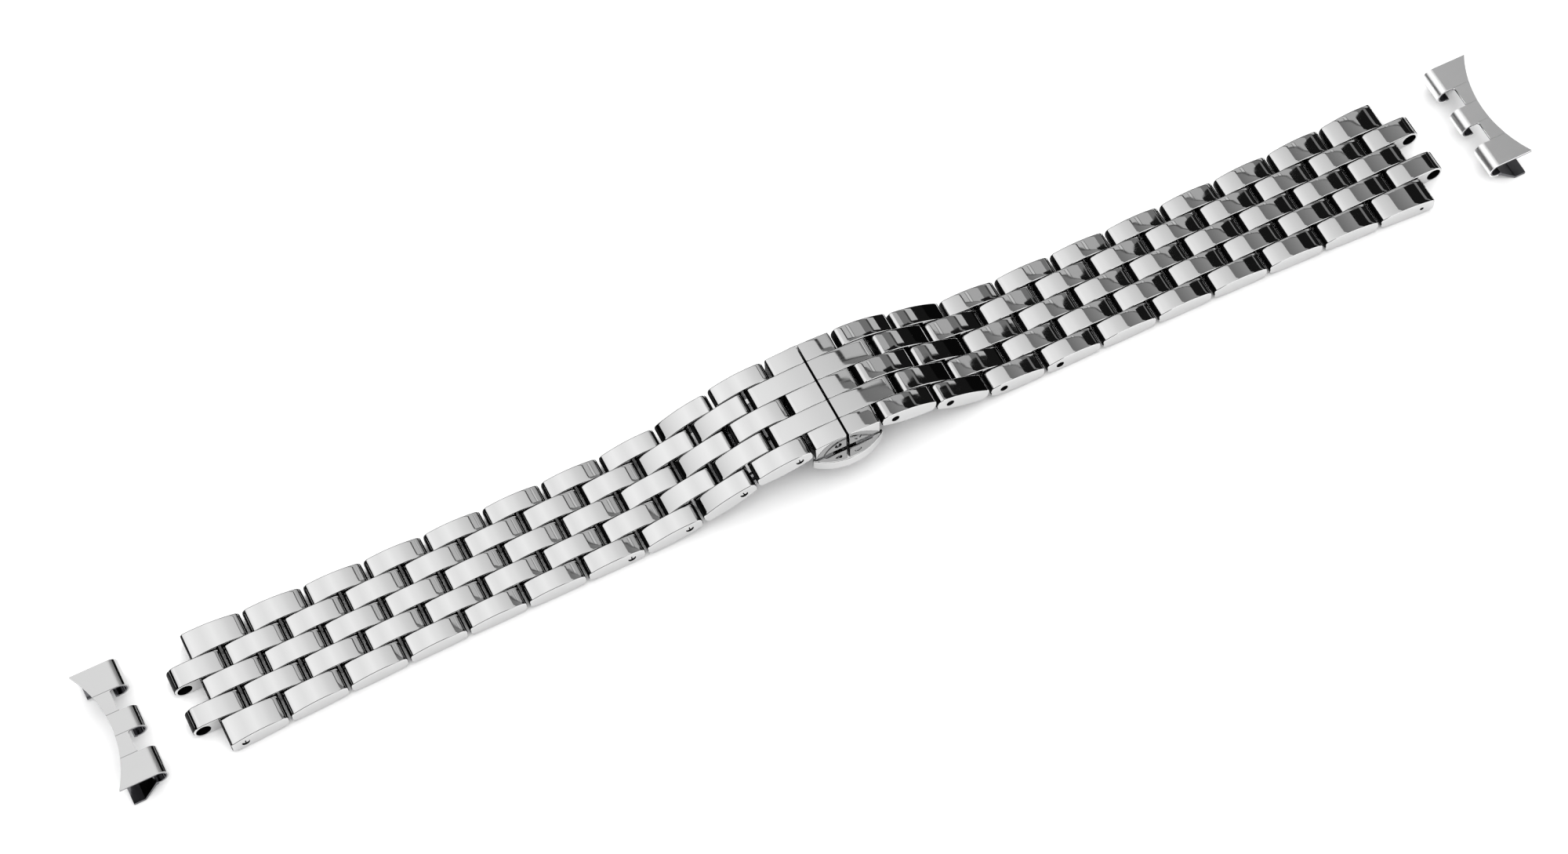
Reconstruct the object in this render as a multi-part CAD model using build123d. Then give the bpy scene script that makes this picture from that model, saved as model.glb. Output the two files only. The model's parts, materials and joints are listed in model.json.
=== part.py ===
"""Link watch bracelet for an 18 mm lug width, laid out flat with its folding clasp closed.

The bracelet has five columns of polished links.  Columns 1, 3 and 5 form the outer rows,
columns 2 and 4 form the inner rows half a pitch further on, and a pin joins each row to the
next.  Both halves meet at a double folding clasp that lifts the middle of the bracelet.  Two
curved end pieces, which fill the space between bracelet and watch case, lie loose at the ends.

Lengths are in millimetres.  X runs along the bracelet, Y across it and Z is up, with the table
at zero.  Each half is built on the plus X side, and the left one is then mirrored.
"""
from build123d import *
from math import asin, cos, degrees, radians, sin, sqrt
import os

os.makedirs("parts", exist_ok=True)

# Link rows
rows_per_half = 10
row_pitch = 8.6
link_thickness = 2.85
link_end_gap = 0.35
column_width = 3.25
column_gap = 0.08
clasp_width = 15.5
lug_width = 18.0
parallel_rows = 5
top_crown = 0.45
bottom_crown = 0.42
top_corner_radius = 0.75
bottom_corner_radius = 0.45
edge_radius = 0.12
pin_height = 1.4

# Link pins and spring bar holes
pin_radius = 0.55
pin_fit = 0.02
running_fit = 0.05
pin_cover = 0.8
flush_pin_inset = 0.08
deep_pin_inset = 0.4
pin_slot_width = 0.16
pin_slot_depth = 0.3
small_hole_radius = 0.3
removable_rows = 4
spring_bar_hole_radius = 1.05
spring_bar_wall = 0.35

# Tilt of each row that comes down from the clasp, from the clasp outwards, in degrees
left_drop_tilts = [8.0, 19.0, 20.0, 16.6, 9.0, 3.0]
right_drop_tilts = [13.0, 21.0, 22.0, 13.3, 5.0]

# Clasp blocks, the two rigid ends of the bracelet over the clasp
block_length = 4.95
seam_gap = 0.35
groove_width = 0.14
groove_depth = 0.3
block_pin_inset = 1.45
block_pin_height = 1.1
block_pin_radius = 0.5
block_slot_margin = 0.5

# Folding clasp
hinge_span = 30.0
barrel_radius = 1.05
hinge_pin_radius = 0.5
strip_width = 9.2
centre_knuckle_width = 4.4
knuckle_gap = 0.12
barrel_clearance = 0.25
plate_thickness = 0.7
blade_thickness = 0.8
blade_to_block = 0.15
blade_to_catch = 0.3
catch_to_tray = 0.15
tray_floor = 0.5
neck_radius = 0.92
neck_thickness = 0.8
neck_clearance = 0.1
neck_foot = 0.3
strip_end_inset = 3.1
hook_length = 0.7
hook_width = 1.1
hook_drop = 0.65
hook_edge_inset = 0.1

# Latch housing and push buttons
housing_length = 9.0
housing_side_gap = 0.5
housing_side_reach = 6.6
housing_top_gap = 0.3
post_width = 0.6
post_length = 1.6
stem_height = 0.9
stem_width = 3.2
stem_end = 2.4
stem_clearance = 0.1
catch_reach = 3.6
catch_width = 0.75
button_length = 10.3
button_height = 1.8
button_reach = 9.5
button_end_reach = 7.75
button_travel = 0.6
button_travel_spare = 0.15
button_pocket_depth = 0.25
button_rim = 0.4
button_top_gap = 0.3
spring_radius = 0.33
spring_wire_radius = 0.08
spring_turns = 5
spring_seat_gap = 0.05

# Curved end pieces of folded sheet
sheet = 0.4
curl_bore_radius = 1.0
curl_lip_angle = 60.0
case_radius = 18.0
front_reach = 2.8
recess_reach = 1.15
recess_corner_radius = 0.4
score_width = 0.12
score_depth = 0.1
tongue_neck_width = 1.6
tongue_foot_width = 2.8
tongue_foot_flare = 0.8
tongue_drop = 1.3
tongue_reach = 4.2
tongue_foot_length = 1.6
end_piece_gap = 7.7

# Cuts run past the surfaces that they open by this much
overrun = 1.0

# Values that follow from the sizes above
half_pitch = row_pitch / 2
pin_offset = row_pitch / 4
nose_radius = (half_pitch - link_end_gap) / 2
top_height = link_thickness - pin_height
nose_top = top_height - top_crown
nose_bottom = bottom_crown - pin_height
left_drop_share = sum(sin(radians(tilt)) for tilt in left_drop_tilts)
right_drop_share = sum(sin(radians(tilt)) for tilt in right_drop_tilts)
right_last_tilt = degrees(asin(left_drop_share - right_drop_share))
drop_tilts = {"left": left_drop_tilts, "right": right_drop_tilts + [right_last_tilt]}
inner_low = column_width / 2 + column_gap / 2
inner_high = 3 * column_width / 2 - column_gap / 2
centre_high = column_width / 2 - column_gap / 2
side_low = 3 * column_width / 2 + column_gap / 2
block_bottom = half_pitch * left_drop_share
block_top = block_bottom + link_thickness
block_pin_z = block_bottom + block_pin_height
first_pin_x = block_length + pin_offset
first_pin_z = block_bottom + pin_height
blade_top = block_bottom - blade_to_block
blade_bottom = blade_top - blade_thickness
catch_top = blade_bottom - blade_to_catch
catch_bottom = catch_top - stem_height
tray_top = catch_bottom - catch_to_tray
plate_top = tray_top - tray_floor
hinge_x = hinge_span / 2
strip_limit = hinge_x - barrel_radius - barrel_clearance
curl_radius = curl_bore_radius + sheet
end_axis_height = curl_radius + tongue_drop
case_centre = front_reach + case_radius
tip_reach = case_centre - sqrt(case_radius**2 - (lug_width / 2) ** 2)


def prism(face, y_low, y_high):
    """Solid with the outline `face`, drawn as X and height, between two places across."""
    plane = Plane(origin=(0, y_high, 0), x_dir=(1, 0, 0), z_dir=(0, -1, 0))
    return extrude(plane * face, y_high - y_low, dir=(0, -1, 0))


def slab(plan, z_low, z_high):
    """Solid with the plan `plan` between two heights."""
    return extrude(Pos(0, 0, z_low) * plan, z_high - z_low, dir=(0, 0, 1))


def cross_pin(x, z, radius, y_low, y_high):
    """Round solid along Y."""
    return prism(Pos(x, z) * Circle(radius), y_low, y_high)


def block_of(x_low, x_high, y_low, y_high, z_low, z_high):
    """Rectangular solid between two corners."""
    middle = Pos((x_low + x_high) / 2, (y_low + y_high) / 2, (z_low + z_high) / 2)
    return middle * Box(x_high - x_low, y_high - y_low, z_high - z_low)


def both_sides(solid):
    """The solid and its mirror image across the middle of the bracelet."""
    return [solid, mirror(solid, about=Plane.XZ)]


def round_corner(face, x, height, radius):
    """Outline with the corner nearest to a point rounded."""
    corner = min(face.vertices(), key=lambda v: (v.X - x) ** 2 + (v.Y - height) ** 2)
    return fillet([corner], radius)


def nose_x(height):
    """X of a link's end at a height above its pins."""
    return pin_offset + sqrt(nose_radius**2 - height**2)


def half_width(rows_out):
    """Half of the bracelet's width at a number of pitches from the clasp block."""
    flare = max(0.0, (rows_out - parallel_rows) / (rows_per_half - parallel_rows))
    return (clasp_width + (lug_width - clasp_width) * flare**2) / 2


def link_face(outboard="nose"):
    """Side outline of a link about the middle of its two pins, with the clasp to minus X."""
    top_x = nose_x(nose_top)
    low_x = nose_x(nose_bottom)
    nose_tip = pin_offset + nose_radius
    clasp_nose = ThreePointArc((-low_x, nose_bottom), (-nose_tip, 0), (-top_x, nose_top))
    end_top = (top_x, nose_top)
    end_low = (low_x, nose_bottom)
    end = ThreePointArc(end_top, (nose_tip, 0), end_low)
    if outboard == "square":
        end_top = (nose_tip, nose_top)
        end_low = (nose_tip, nose_bottom)
        end = Line(end_top, end_low)
    if outboard == "round":
        round_radius = spring_bar_hole_radius + spring_bar_wall
        end_top = (pin_offset, round_radius)
        end_low = (pin_offset, -round_radius)
        end = ThreePointArc(end_top, (pin_offset + round_radius, 0), end_low)
    top = ThreePointArc((-top_x, nose_top), (0, top_height), end_top)
    bottom = ThreePointArc(end_low, (0, -pin_height), (-low_x, nose_bottom))
    if outboard == "round":
        flat = Line(end_low, (0, -pin_height))
        rise = TangentArc((0, -pin_height), (-low_x, nose_bottom), tangent=(-1, 0))
        bottom = flat + rise
    face = make_face(top.edges() + end.edges() + bottom.edges() + clasp_nose.edges())
    face = round_corner(face, -top_x, nose_top, top_corner_radius)
    face = round_corner(face, -low_x, nose_bottom, bottom_corner_radius)
    if outboard == "nose":
        face = round_corner(face, *end_top, top_corner_radius)
    if outboard == "square":
        face = round_corner(face, *end_top, bottom_corner_radius)
    if outboard != "round":
        face = round_corner(face, *end_low, bottom_corner_radius)
    return face


def soften_sides(solid):
    """Solid with small rounds round its two side faces."""
    faces = solid.faces().sort_by(Axis.Y)
    edges = faces[0].edges() + faces[-1].edges()
    return fillet(edges, edge_radius)


def side_link(row, outboard):
    """Link of the outermost column on the plus Y side, whose outer face follows the taper."""
    reach = pin_offset + nose_radius + overrun
    slope = (half_width(row + 1) - half_width(row)) / row_pitch
    middle = (half_width(row + 1) + half_width(row)) / 2
    plan = Polygon(
        (-reach, side_low),
        (reach, side_low),
        (reach, middle + slope * reach),
        (-reach, middle - slope * reach),
        align=None,
    )
    bar = prism(link_face(outboard), side_low, middle + slope * reach)
    height = pin_height + link_thickness
    return soften_sides(bar & slab(plan, -height, height))


def bored(solid, x, radius, y_low, y_high):
    """Solid less a round hole along Y at pin height."""
    return solid - cross_pin(x, 0, radius, y_low, y_high)


def slotted_pin(x, reach, slotted):
    """Link pin, with a slot in each end where it can be pushed out."""
    pin = cross_pin(x, 0, pin_radius, -reach, reach)
    if slotted:
        for side in (-1, 1):
            low = min(side * reach, side * (reach - pin_slot_depth))
            high = max(side * reach, side * (reach - pin_slot_depth))
            half = pin_slot_width / 2
            pin -= block_of(x - half, x + half, low, high, -pin_radius, pin_radius)
    return pin


def outer_row(side, row):
    """Links of columns 1, 3 and 5 of one row with the two pins that they carry."""
    outboard = "square" if row == rows_per_half - 1 else "nose"
    hole = pin_radius + pin_fit
    centre = soften_sides(prism(link_face(outboard), -centre_high, centre_high))
    near = side_link(row, outboard)
    pins = []
    for end in (-1, 1):
        x = end * pin_offset
        width_here = half_width(row + (half_pitch + x) / row_pitch)
        is_clasp_end = end < 0 and row < removable_rows
        is_watch_end = end > 0 and row == rows_per_half - 1
        opened = is_clasp_end or is_watch_end
        inset = flush_pin_inset if side == "left" else deep_pin_inset
        pin_reach = width_here - (inset if opened else pin_cover)
        if is_watch_end and side == "right":
            pin_reach = width_here - pin_cover
            near = bored(near, x, small_hole_radius, side_low, width_here + overrun)
        elif opened:
            near = bored(near, x, hole, side_low - overrun, width_here + overrun)
        near = bored(near, x, hole, side_low - overrun, pin_reach)
        centre = bored(centre, x, hole, -column_width, column_width)
        pins.append(slotted_pin(x, pin_reach - pin_fit, opened and side == "left"))
    return [centre] + both_sides(near) + pins


def inner_row(row):
    """Links of columns 2 and 4; the last row carries the spring bar hole."""
    is_last = row == rows_per_half - 1
    link = soften_sides(prism(link_face("round" if is_last else "nose"), inner_low, inner_high))
    hole = pin_radius + running_fit
    end_hole = spring_bar_hole_radius if is_last else hole
    link = bored(link, -pin_offset, hole, 0, 2 * column_width)
    link = bored(link, pin_offset, end_hole, 0, 2 * column_width)
    return both_sides(link)


def row_places(side):
    """Kind, number, X, Z and tilt of each row of one half, from the clasp outwards."""
    tilts = drop_tilts[side] + [0.0] * (2 * rows_per_half - len(drop_tilts[side]))
    x, z = first_pin_x, first_pin_z
    places = []
    for number, tilt in enumerate(tilts):
        along = half_pitch * cos(radians(tilt))
        down = half_pitch * sin(radians(tilt))
        kind = "inner" if number % 2 else "outer"
        places.append((kind, number // 2, x + along / 2, z - down / 2, tilt))
        x, z = x + along, z - down
    return places


def last_hole_x(side):
    """X of the spring bar hole at the end of one half."""
    kind, number, x, z, tilt = row_places(side)[-1]
    return x + pin_offset


def clasp_block(side):
    """Rigid end of one half: three short and two long columns over the clasp."""
    low_x = seam_gap / 2
    short_x = block_length - link_end_gap / 2
    short_drop = top_crown / 2
    crown = TangentArc((low_x, block_top), (short_x, block_top - short_drop), tangent=(1, 0))
    end = Line((short_x, block_top - short_drop), (short_x, block_bottom))
    base = Line((short_x, block_bottom), (low_x, block_bottom))
    seam = Line((low_x, block_bottom), (low_x, block_top))
    short = make_face(crown.edges() + end.edges() + base.edges() + seam.edges())
    short = round_corner(short, short_x, block_top, top_corner_radius / 2)
    body = prism(short, -clasp_width / 2, clasp_width / 2)

    end_x = block_length + nose_x(nose_top)
    low_end_x = block_length + nose_x(nose_bottom)
    tip_x = first_pin_x + nose_radius
    end_z = first_pin_z + nose_top
    low_z = first_pin_z + nose_bottom
    crown = TangentArc((low_x, block_top), (end_x, end_z), tangent=(1, 0))
    nose = ThreePointArc((end_x, end_z), (tip_x, first_pin_z), (low_end_x, low_z))
    under = Line((low_end_x, low_z), (block_length, block_bottom))
    base = Line((block_length, block_bottom), (low_x, block_bottom))
    edges = crown.edges() + nose.edges() + under.edges() + base.edges()
    long_face = make_face(edges + seam.edges())
    long_face = round_corner(long_face, end_x, end_z, top_corner_radius)
    for column in both_sides(prism(long_face, inner_low, inner_high)):
        body += column

    hole = pin_radius + running_fit
    body -= cross_pin(first_pin_x, first_pin_z, hole, -clasp_width, clasp_width)
    bore = block_pin_radius + pin_fit
    body -= cross_pin(block_pin_inset, block_pin_z, bore, -clasp_width, clasp_width)
    slot_half = centre_knuckle_width / 2 + knuckle_gap
    slot_end = strip_end_inset + block_slot_margin
    slot_top = block_pin_z + neck_radius + neck_clearance
    slot_low = block_bottom - overrun
    body -= block_of(0, slot_end, -slot_half, slot_half, slot_low, slot_top)
    for place in (-3, -1, 1, 3):
        middle = place * column_width / 2
        low = middle - groove_width / 2
        high = middle + groove_width / 2
        floor = block_top - groove_depth
        body -= block_of(0, block_length, low, high, floor, block_top + overrun)
    return [body]


def block_pin(side):
    """Pin that joins a clasp block to the free end of its blade."""
    inset = deep_pin_inset if side == "left" else flush_pin_inset
    reach = clasp_width / 2 - inset
    return [cross_pin(block_pin_inset, block_pin_z, block_pin_radius, -reach, reach)]


def arched_face(x_low, top_low, x_high, top_high, thickness):
    """Outline of a strip that leaves `x_low` level and curves down to `x_high`."""
    run = x_high - x_low
    fall = top_low - top_high
    radius = (run**2 + fall**2) / (2 * fall)
    centre = Pos(x_low, top_low - radius)
    ring = centre * (Circle(radius) - Circle(radius - thickness))
    corner = Pos((x_low + x_high) / 2, top_low - radius / 2)
    return ring & (corner * Rectangle(run, radius))


def blade(side):
    """Arched blade from the plate's hinge to the clasp block, with its two catch hooks."""
    face = arched_face(strip_end_inset, blade_top, hinge_x, 2 * barrel_radius, blade_thickness)
    strip = prism(face, -strip_width / 2, strip_width / 2)
    height = block_bottom
    strip &= block_of(0, strip_limit, -strip_width, strip_width, 0, height)
    middle = centre_knuckle_width / 2
    solid = strip + prism(face, -middle, middle)
    solid += cross_pin(hinge_x, barrel_radius, barrel_radius, -middle, middle)
    hole = hinge_pin_radius + running_fit
    solid -= cross_pin(hinge_x, barrel_radius, hole, -strip_width, strip_width)
    foot_x = strip_end_inset + neck_foot
    run = foot_x - block_pin_inset
    fall = block_pin_z - blade_top
    length = sqrt(run**2 + fall**2)
    aside_x = neck_thickness / 2 * fall / length
    aside_z = neck_thickness / 2 * run / length
    neck = Polygon(
        (block_pin_inset + aside_x, block_pin_z + aside_z),
        (foot_x, blade_top),
        (foot_x, blade_bottom),
        (strip_end_inset, blade_bottom),
        (block_pin_inset - aside_x, block_pin_z - aside_z),
        align=None,
    )
    solid += prism(neck, -middle, middle)
    solid += cross_pin(block_pin_inset, block_pin_z, neck_radius, -middle, middle)
    bore = block_pin_radius + running_fit
    solid -= cross_pin(block_pin_inset, block_pin_z, bore, -strip_width, strip_width)
    hook_high = strip_width / 2 - hook_edge_inset
    hook_low = hook_high - hook_width
    hook_end = strip_end_inset + hook_length
    hook_bottom = blade_bottom - hook_drop
    hook = block_of(strip_end_inset, hook_end, hook_low, hook_high, hook_bottom, blade_bottom)
    for each in both_sides(hook):
        solid += each
    return [solid]


def hinge_pin(side):
    """Pin through the plate's two knuckles and the blade's middle one."""
    reach = strip_width / 2
    return [cross_pin(hinge_x, barrel_radius, hinge_pin_radius, -reach, reach)]


def centre_plate():
    """Curved plate under the clasp, with two knuckles at each end."""
    face = arched_face(0, plate_top, hinge_x, plate_thickness, plate_thickness)
    knuckle_low = centre_knuckle_width / 2 + knuckle_gap
    knuckle_high = strip_width / 2
    half = prism(face, -knuckle_high, knuckle_high)
    half &= block_of(0, strip_limit, -strip_width, strip_width, -overrun, plate_top)
    ear = prism(face, knuckle_low, knuckle_high)
    ear += cross_pin(hinge_x, barrel_radius, barrel_radius, knuckle_low, knuckle_high)
    for each in both_sides(ear):
        half += each
    half -= cross_pin(
        hinge_x, barrel_radius, hinge_pin_radius + pin_fit, -strip_width, strip_width
    )
    return [half + mirror(half, about=Plane.YZ)]


def latch_housing():
    """Tray on the plate with a walled guide for each push button and a spring post."""
    end = housing_length / 2
    guide_low = strip_width / 2 + housing_side_gap
    guide_top = block_bottom - housing_top_gap
    reach = housing_side_reach
    tray = block_of(-end, end, -reach, reach, plate_top, tray_top)
    slot = stem_width / 2 + stem_clearance
    slot_top = catch_top + stem_clearance
    guide = block_of(-end, end, guide_low, reach, tray_top, guide_top)
    guide -= block_of(-slot, slot, 0, reach + overrun, tray_top, slot_top)
    for each in both_sides(guide):
        tray += each
    post_half = post_length / 2
    post_side = post_width / 2
    tray += block_of(-post_half, post_half, -post_side, post_side, tray_top, catch_top)
    return [tray]


def push_button():
    """Crescent push button of the plus Y side with its stem and catch bar."""
    half = button_length / 2
    low = housing_side_reach + button_travel + button_travel_spare
    front = ThreePointArc((-half, button_end_reach), (0, button_reach), (half, button_end_reach))
    sides = Line((half, button_end_reach), (half, low)).edges()
    sides += Line((half, low), (-half, low)).edges()
    sides += Line((-half, low), (-half, button_end_reach)).edges()
    plan = make_face(front.edges() + sides)
    top = block_bottom - button_top_gap
    bottom = top - button_height
    body = slab(plan, bottom, top)
    faces = body.faces().sort_by(Axis.Z)
    body = fillet(faces[0].edges() + faces[-1].edges(), edge_radius)
    inner_end = button_end_reach - button_rim
    inner_half = half - 2 * button_rim
    inner_front = ThreePointArc(
        (-inner_half, inner_end), (0, button_reach - button_rim), (inner_half, inner_end)
    )
    chord = Line((inner_half, inner_end), (-inner_half, inner_end))
    pocket = make_face(inner_front.edges() + chord.edges())
    body -= slab(pocket, top - button_pocket_depth, top + overrun)
    stem = stem_width / 2
    joined = low + button_rim
    body += block_of(-stem, stem, stem_end, joined, catch_bottom, catch_top)
    catch_high = stem_end + catch_width
    body += block_of(-catch_reach, catch_reach, stem_end, catch_high, catch_bottom, catch_top)
    return body


def button_spring():
    """Coil spring between the post and the stem of the plus Y side."""
    low = post_width / 2 + spring_seat_gap + spring_wire_radius
    high = stem_end - spring_seat_gap - spring_wire_radius
    path = Helix((high - low) / spring_turns, high - low, spring_radius, direction=(0, 1, 0))
    section = Plane(origin=path @ 0, z_dir=path % 0) * Circle(spring_wire_radius)
    wire = sweep(section, path, is_frenet=True)
    return Pos(0, low, (catch_bottom + catch_top) / 2) * wire


def end_piece():
    """Folded sheet end piece about its knuckle axis, with the watch to plus X."""
    half = lug_width / 2
    solid = block_of(0, tip_reach + overrun, -half, half, curl_bore_radius, curl_radius)
    ring = Circle(curl_radius) - Circle(curl_bore_radius)
    opening_height = 2 * curl_radius
    opening = Polygon(
        (0, 0),
        (opening_height * cos(radians(curl_lip_angle)), -opening_height * sin(radians(curl_lip_angle))),
        (2 * opening_height, -opening_height),
        (2 * opening_height, curl_bore_radius),
        (0, curl_bore_radius),
        align=None,
    )
    curl = prism(ring - opening, -half, half)
    solid += curl
    recess = Polygon(
        (-2 * curl_radius, inner_low - column_gap),
        (recess_reach, inner_low - column_gap),
        (recess_reach, inner_high + column_gap),
        (-2 * curl_radius, inner_high + column_gap),
        align=None,
    )
    recess = round_corner(recess, recess_reach, inner_low, recess_corner_radius)
    recess = round_corner(recess, recess_reach, inner_high, recess_corner_radius)
    for each in both_sides(slab(recess, -2 * curl_radius, 2 * curl_radius)):
        solid -= each
    case = Pos(case_centre, 0, 0) * Cylinder(case_radius, 4 * curl_radius)
    solid -= case
    for place in (-3, -1, 1, 3):
        middle = place * column_width / 2
        low = middle - score_width / 2
        high = middle + score_width / 2
        floor = curl_radius - score_depth
        solid -= block_of(0, tip_reach, low, high, floor, curl_radius + overrun)
    lip_x = curl_radius * cos(radians(curl_lip_angle))
    lip_z = -curl_radius * sin(radians(curl_lip_angle))
    foot_start = tongue_reach - tongue_foot_length
    strip = Polygon(
        (0, -curl_radius),
        (lip_x, lip_z),
        (foot_start, -end_axis_height + sheet),
        (tongue_reach, -end_axis_height + sheet),
        (tongue_reach, -end_axis_height),
        (foot_start, -end_axis_height),
        align=None,
    )
    foot_low = half - tongue_foot_width + tongue_foot_flare
    foot_high = half + tongue_foot_flare
    bar = prism(strip, foot_low - overrun, foot_high + overrun)
    plan = Polygon(
        (-overrun, half - tongue_neck_width),
        (lip_x, half - tongue_neck_width),
        (foot_start, foot_low),
        (tongue_reach, foot_low),
        (tongue_reach, foot_high),
        (foot_start, foot_high),
        (lip_x, half),
        (-overrun, half),
        align=None,
    )
    for each in both_sides(bar & slab(plan, -2 * end_axis_height, 0)):
        solid += each
    return solid


def end_piece_x(side):
    """X of a loose end piece's knuckle axis."""
    return last_hole_x(side) + end_piece_gap


# The bracelet's two ends lie equally far from the origin
centre_shift = (end_piece_x("left") - end_piece_x("right")) / 2


def save(name, solids, side="right"):
    """Write one sub-part, mirrored first if it is of the left half."""
    shapes = [mirror(solid, about=Plane.YZ) if side == "left" else solid for solid in solids]
    placed = [Pos(centre_shift, 0, 0) * shape for shape in shapes]
    parts = [solid for shape in placed for solid in shape.solids()]
    export_step(Compound(children=parts), f"parts/{name}.step")


for side in ("left", "right"):
    for kind, number, x, z, tilt in row_places(side):
        solids = outer_row(side, number) if kind == "outer" else inner_row(number)
        place = Location((x, 0, z), (0, tilt, 0))
        placed = [solid.moved(place) for solid in solids]
        save(f"{side}_{kind}_links_{number + 1:02d}", placed, side)
    save(f"clasp_block_{side}", clasp_block(side), side)
    save(f"block_pin_{side}", block_pin(side), side)
    save(f"blade_{side}", blade(side), side)
    save(f"hinge_pin_{side}", hinge_pin(side), side)
    end_place = Pos(end_piece_x(side), 0, end_axis_height)
    save(f"end_piece_{side}", [end_place * end_piece()], side)

save("centre_plate", centre_plate())
save("latch_housing", latch_housing())
far_button, near_button = both_sides(push_button())
far_spring, near_spring = both_sides(button_spring())
save("push_button_far", [far_button])
save("push_button_near", [near_button])
save("button_spring_far", [far_spring])
save("button_spring_near", [near_spring])
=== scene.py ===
# %% [markdown]
# # A polished link watch bracelet
#
# The CAD model gives every piece its place and its joints. This lesson dresses it: it models the
# links and the clasp blocks again with soft, evenly bevelled edges, because mirror polished steel
# shows each small bump of a mesh, and then it builds the small studio whose panels are what the
# eye sees in the steel.

import json
import math

import bpy
from mathutils import Matrix, Vector


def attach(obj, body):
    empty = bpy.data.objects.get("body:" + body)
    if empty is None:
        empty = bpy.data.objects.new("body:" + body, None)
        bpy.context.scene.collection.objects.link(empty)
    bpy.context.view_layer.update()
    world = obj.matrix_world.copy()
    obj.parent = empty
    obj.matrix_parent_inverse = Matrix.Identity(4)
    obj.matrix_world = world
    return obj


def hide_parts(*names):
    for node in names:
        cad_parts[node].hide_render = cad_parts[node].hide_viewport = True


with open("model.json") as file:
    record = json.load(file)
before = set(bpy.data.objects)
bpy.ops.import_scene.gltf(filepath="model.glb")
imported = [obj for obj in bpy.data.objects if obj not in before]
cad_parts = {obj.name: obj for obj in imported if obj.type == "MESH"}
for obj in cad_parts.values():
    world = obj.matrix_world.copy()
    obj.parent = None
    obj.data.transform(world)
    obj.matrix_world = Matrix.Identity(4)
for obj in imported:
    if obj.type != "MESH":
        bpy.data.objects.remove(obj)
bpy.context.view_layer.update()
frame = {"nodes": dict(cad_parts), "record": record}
record = frame["record"]

# %% [markdown]
# ## Where each row of links lies
#
# Every row turns on a pin, so the joints of the model already say where the pins are. A row lies
# between its own pin and the pin of the next row. The last row ends at the spring bar hole, which
# the model keeps as a mount. Reading these places here means that no position is typed twice.

# %% Read the pins of both halves
MM = 0.001
halves = ("left", "right")
rows_per_half = 10
joints = {joint["child"]: joint for joint in record["behaviour"]["joints"]}
mounts = {mount["name"]: mount for mount in record["mounts"]}


def row_names(side):
    """Names of the rows of one half, from the clasp outwards."""
    names = []
    for number in range(1, rows_per_half + 1):
        names.append(f"{side}_outer_row_{number:02d}")
        names.append(f"{side}_inner_row_{number:02d}")
    return names


def row_ends(side):
    """Row name with the centres of its two pins, in metres."""
    names = row_names(side)
    pins = [Vector(joints[name]["pos_m"]) for name in names]
    pins.append(Vector(mounts[f"spring_bar_hole_{side}"]["pos_m"]))
    return {name: (pins[i], pins[i + 1]) for i, name in enumerate(names)}


pin_places = {side: row_ends(side) for side in halves}
print("rows found:", {side: len(places) for side, places in pin_places.items()})

# %% [markdown]
# ## Sizes of a link
#
# These repeat the sizes of the CAD model, in millimetres. A link is a flat lens seen from the
# side: its top and bottom are wide arcs, its two ends are round about the pins, and small rounds
# join them. Heights count from the line through the pins.

# %% Link sizes
pin_offset = 2.15  # from the middle of a link to each pin
nose_radius = 1.975
top_height, pin_height = 1.45, 1.4  # summit above the pins, and pins above the lowest point
nose_top, nose_bottom = 1.0, -0.98  # where the arcs of top and bottom meet the nose
top_corner, bottom_corner = 0.75, 0.45
round_end = 1.4  # radius of the inner links' end about the spring bar
pin_radius, pin_hole, spring_bar_hole = 0.55, 0.6, 1.05
half_column = 1.585
inner_low, inner_high = 1.665, 4.835
side_low = 4.915
clasp_half_width, lug_half_width = 7.75, 9.0
parallel_rows = 5  # rows from the clasp to where the bracelet starts to widen
print("link length over the noses:", 2 * (pin_offset + nose_radius), "mm")

# %% [markdown]
# ## Circles that touch
#
# A polished outline needs true arcs. Each corner round touches the arc of the top and the arc of
# the nose, so its centre lies where two smaller circles meet. A freely drawn curve would be
# quicker, but a mirror shows that it isn't round.

# %% Circle helpers


def circle_of(first, middle, last):
    """Centre and radius of the circle through three points."""
    a, b = middle - first, last - first
    cross = 2 * (a.x * b.y - a.y * b.x)
    x = (b.y * a.length_squared - a.y * b.length_squared) / cross
    y = (a.x * b.length_squared - b.x * a.length_squared) / cross
    return first + Vector((x, y)), math.hypot(x, y)


def meeting_point(first, first_radius, second, second_radius, side):
    """Where two circles meet, on the asked side of the line between their centres."""
    gap = second - first
    along = (gap.length_squared + first_radius**2 - second_radius**2) / (2 * gap.length)
    across = math.sqrt(first_radius**2 - along**2)
    direction = gap.normalized()
    return first + direction * along + Vector((-direction.y, direction.x)) * across * side


def arc_points(centre, start, end, steps):
    """Points of a clockwise arc about a centre from start towards end, without the last one."""
    first = math.atan2(start.y - centre.y, start.x - centre.x)
    last = math.atan2(end.y - centre.y, end.x - centre.x)
    turn = (first - last) % (2 * math.pi)
    radius = (start - centre).length
    angles = [first - turn * i / steps for i in range(steps)]
    return [centre + Vector((math.cos(a), math.sin(a))) * radius for a in angles]


def rounded(curve, nose, radius, side):
    """Centre of a corner round inside two circles, with its touching points on both."""
    centre = meeting_point(curve[0], curve[1] - radius, nose[0], nose[1] - radius, side)
    on_curve = centre + (centre - curve[0]).normalized() * radius
    on_nose = centre + (centre - nose[0]).normalized() * radius
    return centre, on_curve, on_nose


def nose_x(height):
    """X of a link's end at a height above its pins."""
    return pin_offset + math.sqrt(nose_radius**2 - height**2)


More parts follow.
